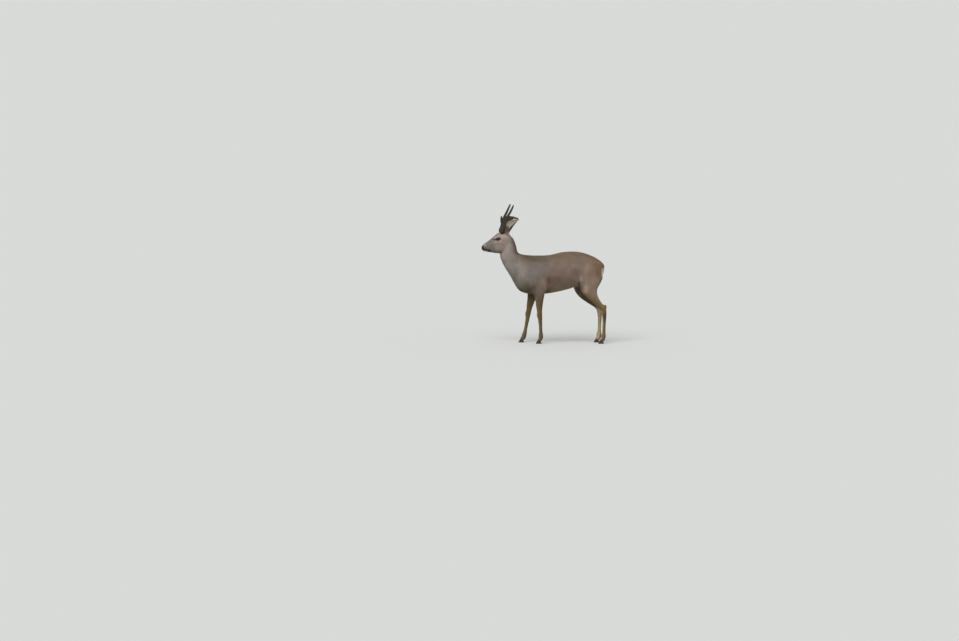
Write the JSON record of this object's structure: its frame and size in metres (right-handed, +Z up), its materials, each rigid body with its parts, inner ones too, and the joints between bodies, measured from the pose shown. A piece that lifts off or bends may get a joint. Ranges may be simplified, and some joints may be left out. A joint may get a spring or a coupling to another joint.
{
  "type": "roe deer buck",
  "caption": "Standing roe deer buck in grey-brown winter coat, head raised and turned slightly, antlers in velvet, one forefoot ahead of the other.",
  "frame": {"origin": "on the floor, under the middle of the animal's bounding box", "axes": "-X towards the nose, +X towards the rump, -Y the animal's left side, +Z up"},
  "size_m": [0.9922, 0.2332, 1.0982],
  "materials": {
    "winter_coat": "dense matt winter hair, grey-brown, paler on the face and neck, with a white rump patch",
    "leg_coat": "short matt hair, warm brown",
    "nose_leather": "bare, moist, pebbled black nose leather",
    "eye": "wet, very dark brown eye",
    "antler_velvet": "short dark grey-brown velvet skin over the growing antler",
    "claw_horn": "dark, slightly worn horn"
  },
  "bodies": {
    "root": {"head": "winter_coat", "nose": "nose_leather", "jaw": "winter_coat", "neck": "winter_coat", "trunk": "winter_coat", "tail": "winter_coat", "foreleg_left_upper": "winter_coat", "foreleg_left_lower": "leg_coat", "hindleg_left_thigh": "winter_coat", "hindleg_left_shank": "leg_coat", "hindleg_left_lower": "leg_coat", "ear_left": "winter_coat", "eye_left": "eye", "foreleg_left_claw_inner": "claw_horn", "foreleg_left_dewclaw_inner": "claw_horn", "foreleg_left_claw_outer": "claw_horn", "foreleg_left_dewclaw_outer": "claw_horn", "hindleg_left_claw_inner": "claw_horn", "hindleg_left_dewclaw_inner": "claw_horn", "hindleg_left_claw_outer": "claw_horn", "hindleg_left_dewclaw_outer": "claw_horn", "antler_left_beam": "antler_velvet", "antler_left_top_tine": "antler_velvet", "antler_left_front_tine": "antler_velvet", "antler_left_rear_tine": "antler_velvet", "foreleg_right_upper": "winter_coat", "foreleg_right_lower": "leg_coat", "hindleg_right_thigh": "winter_coat", "hindleg_right_shank": "leg_coat", "hindleg_right_lower": "leg_coat", "ear_right": "winter_coat", "eye_right": "eye", "foreleg_right_claw_inner": "claw_horn", "foreleg_right_dewclaw_inner": "claw_horn", "foreleg_right_claw_outer": "claw_horn", "foreleg_right_dewclaw_outer": "claw_horn", "hindleg_right_claw_inner": "claw_horn", "hindleg_right_dewclaw_inner": "claw_horn", "hindleg_right_claw_outer": "claw_horn", "hindleg_right_dewclaw_outer": "claw_horn", "antler_right_beam": "antler_velvet", "antler_right_top_tine": "antler_velvet", "antler_right_front_tine": "antler_velvet", "antler_right_rear_tine": "antler_velvet"}
  },
  "joints": []
}
